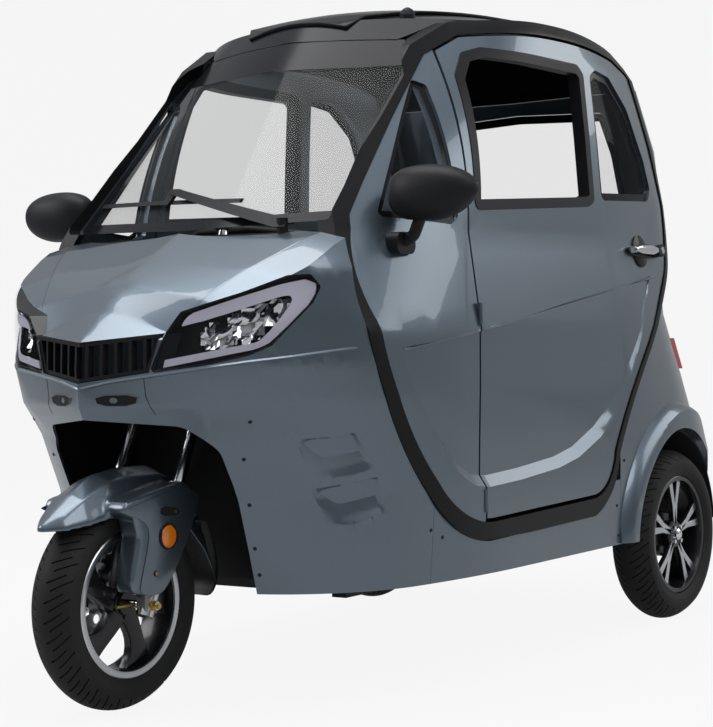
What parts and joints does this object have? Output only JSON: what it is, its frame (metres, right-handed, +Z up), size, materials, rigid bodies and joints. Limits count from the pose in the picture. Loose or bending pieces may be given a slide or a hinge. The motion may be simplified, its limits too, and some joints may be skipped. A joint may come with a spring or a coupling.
{
  "type": "three wheeled car",
  "caption": "Small enclosed electric car with one steered fork wheel in front, driven wheels on a rear axle, hinged side doors and a boot lid.",
  "frame": {"origin": "floor level, midway between the front tyre and the tail, on the centre line", "axes": "+X the car's left side, -Y the way it drives, +Z up"},
  "size_m": [1.372, 2.3279, 1.6711],
  "materials": {
    "paint": "metallic steel blue paint under clear lacquer",
    "gloss_black": "gloss black",
    "matt_black": "moulded matt black",
    "clear_lens": "clear moulded lens",
    "lamp_black": "dark lamp housing",
    "window_glass": "clear laminated glass",
    "tinted_glass": "grey tinted glass",
    "bright_chrome": "polished",
    "rubber_seal": "satin black rubber",
    "red_lens": "clear red moulding",
    "tyre_rubber": "matt, lightly dusty",
    "dark_alloy": "black lacquer with machined faces",
    "bright_steel": "polished tubes with satin castings",
    "cast_alloy": "as cast",
    "black_metal": "satin black powder coat",
    "axle_iron": "painted casting",
    "battery_case": "grey powder coat",
    "seat_cover": "black coated cloth, soft satin"
  },
  "bodies": {
    "car_body": {"hood": "paint", "front_shell": "paint", "side_panels": "paint", "sills": "paint", "rear_body": "paint", "roof": "gloss_black", "grille": "matt_black", "headlamp_lenses": "clear_lens", "headlamps": "lamp_black", "windscreen": "window_glass", "quarter_windows": "tinted_glass", "rear_window": "tinted_glass", "door_seals": "rubber_seal", "tail_lamps": "red_lens", "rear_liners": "matt_black", "wheel_liner": "matt_black", "chassis": "black_metal", "rear_axle": "axle_iron", "rear_springs": "black_metal", "floor_tub": "matt_black", "battery_pack": "battery_case", "seat_front": "seat_cover", "seat_rear": "seat_cover", "dashboard": "matt_black", "mirror_arms": "matt_black", "mirror_heads": "matt_black", "wiper": "matt_black"},
    "steering": {"front_fork": "bright_steel", "handlebar": "black_metal", "front_fender": "paint", "brake_caliper": "cast_alloy"},
    "front_wheel": {"front_rim": "dark_alloy", "front_tyre": "tyre_rubber"},
    "rear_wheel_left": {"rear_rim_left": "dark_alloy", "rear_tyre_left": "tyre_rubber"},
    "rear_wheel_right": {"rear_rim_right": "dark_alloy", "rear_tyre_right": "tyre_rubber"},
    "left_door": {"door_left": "paint", "window_trim_left": "matt_black", "door_glass_left": "tinted_glass", "door_handle_left": "bright_chrome"},
    "right_door": {"door_right": "paint", "window_trim_right": "matt_black", "door_glass_right": "tinted_glass", "door_handle_right": "bright_chrome"},
    "boot": {"boot_lid": "paint"}
  },
  "joints": [
    {"name": "steering_turn", "type": "hinge", "parent": "car_body", "child": "steering", "pos_m": [0, -0.89374, 0.22307], "axis": [0, 0.4147, 0.91], "range_deg": [-32, 32]},
    {"name": "front_wheel_spin", "type": "hinge", "parent": "steering", "child": "front_wheel", "pos_m": [0, -0.9265, 0.238], "axis": [1, 0, 0], "continuous": true},
    {"name": "rear_left_spin", "type": "hinge", "parent": "car_body", "child": "rear_wheel_left", "pos_m": [0.494, 0.8435, 0.238], "axis": [1, 0, 0], "continuous": true},
    {"name": "rear_right_spin", "type": "hinge", "parent": "car_body", "child": "rear_wheel_right", "pos_m": [-0.494, 0.8435, 0.238], "axis": [1, 0, 0], "continuous": true},
    {"name": "left_door_swing", "type": "hinge", "parent": "car_body", "child": "left_door", "pos_m": [0.54632, -0.22552, 0.6], "axis": [0.0209, -0.0132, -0.9997], "range_deg": [0, 65]},
    {"name": "right_door_swing", "type": "hinge", "parent": "car_body", "child": "right_door", "pos_m": [-0.54632, -0.22552, 0.6], "axis": [0.0209, 0.0132, 0.9997], "range_deg": [0, 65]},
    {"name": "boot_lift", "type": "hinge", "parent": "car_body", "child": "boot", "pos_m": [0, 1.0575, 1.047], "axis": [1, 0, 0], "range_deg": [0, 75]}
  ]
}
